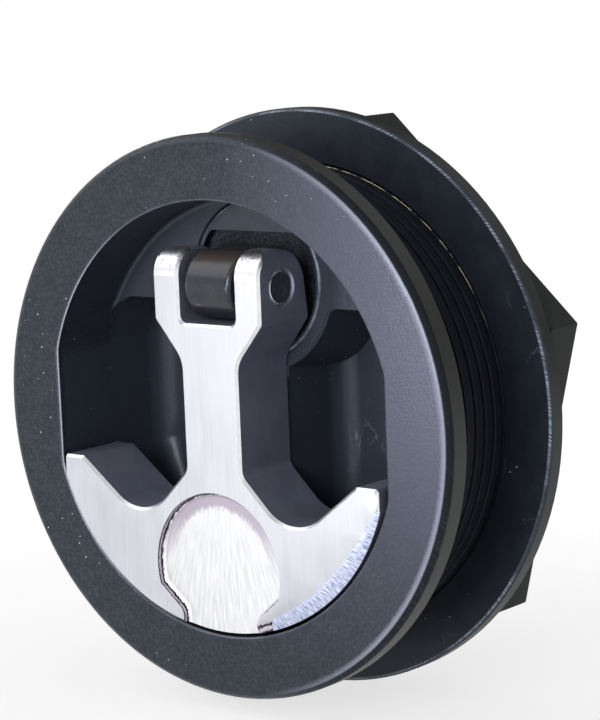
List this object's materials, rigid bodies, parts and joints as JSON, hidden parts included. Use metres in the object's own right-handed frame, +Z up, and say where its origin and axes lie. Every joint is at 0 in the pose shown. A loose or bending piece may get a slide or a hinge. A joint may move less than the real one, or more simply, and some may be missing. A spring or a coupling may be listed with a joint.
{
  "type": "flush pull",
  "caption": "Round flush pull with an anchor-shaped handle that folds flat into a moulded cup, clamped through a panel by a washer and a hexagon ring nut.",
  "frame": {"origin": "on the barrel's axis, at the back face of the flange, in the middle of the panel's cut-out", "axes": "+Z up, with the handle's pin at the top and its crescent at the bottom; +X to the right and +Y through the panel, away from the user, seen from the front"},
  "size_m": [0.1002, 0.0394, 0.1002],
  "materials": {
    "moulded_black": "moulded, fine matt grain, charcoal black",
    "gasket_rubber": "smooth black rubber",
    "fastener_steel": "plain stainless steel",
    "handle_metal": "cast, then linished and polished bright"
  },
  "bodies": {
    "cup": {"cup_body": "moulded_black", "flange_gasket": "gasket_rubber", "hub": "moulded_black", "hub_seal": "gasket_rubber", "hub_washer": "fastener_steel", "hub_screw": "fastener_steel", "hinge_pin": "fastener_steel"},
    "handle": {"handle": "handle_metal"},
    "washer": {"clamp_washer": "moulded_black"},
    "nut": {"clamp_nut": "moulded_black"}
  },
  "joints": [
    {"name": "handle_hinge", "type": "hinge", "parent": "cup", "child": "handle", "pos_m": [0, -0.0001, 0.0222], "axis": [-1, 0, 0], "range_deg": [0, 90]},
    {"name": "clamp_travel", "type": "slide", "parent": "cup", "child": "washer", "axis": [0, -1, 0], "range_m": [0, 0.0169]},
    {"name": "nut_turn", "type": "hinge", "parent": "washer", "child": "nut", "pos_m": [0, 0.0278, 0], "axis": [0, -1, 0], "range_deg": [0, 2340]}
  ],
  "couplings": [
    {"joint": "clamp_travel", "follows": "nut_turn", "m_per_rad": 0.0004138}
  ]
}
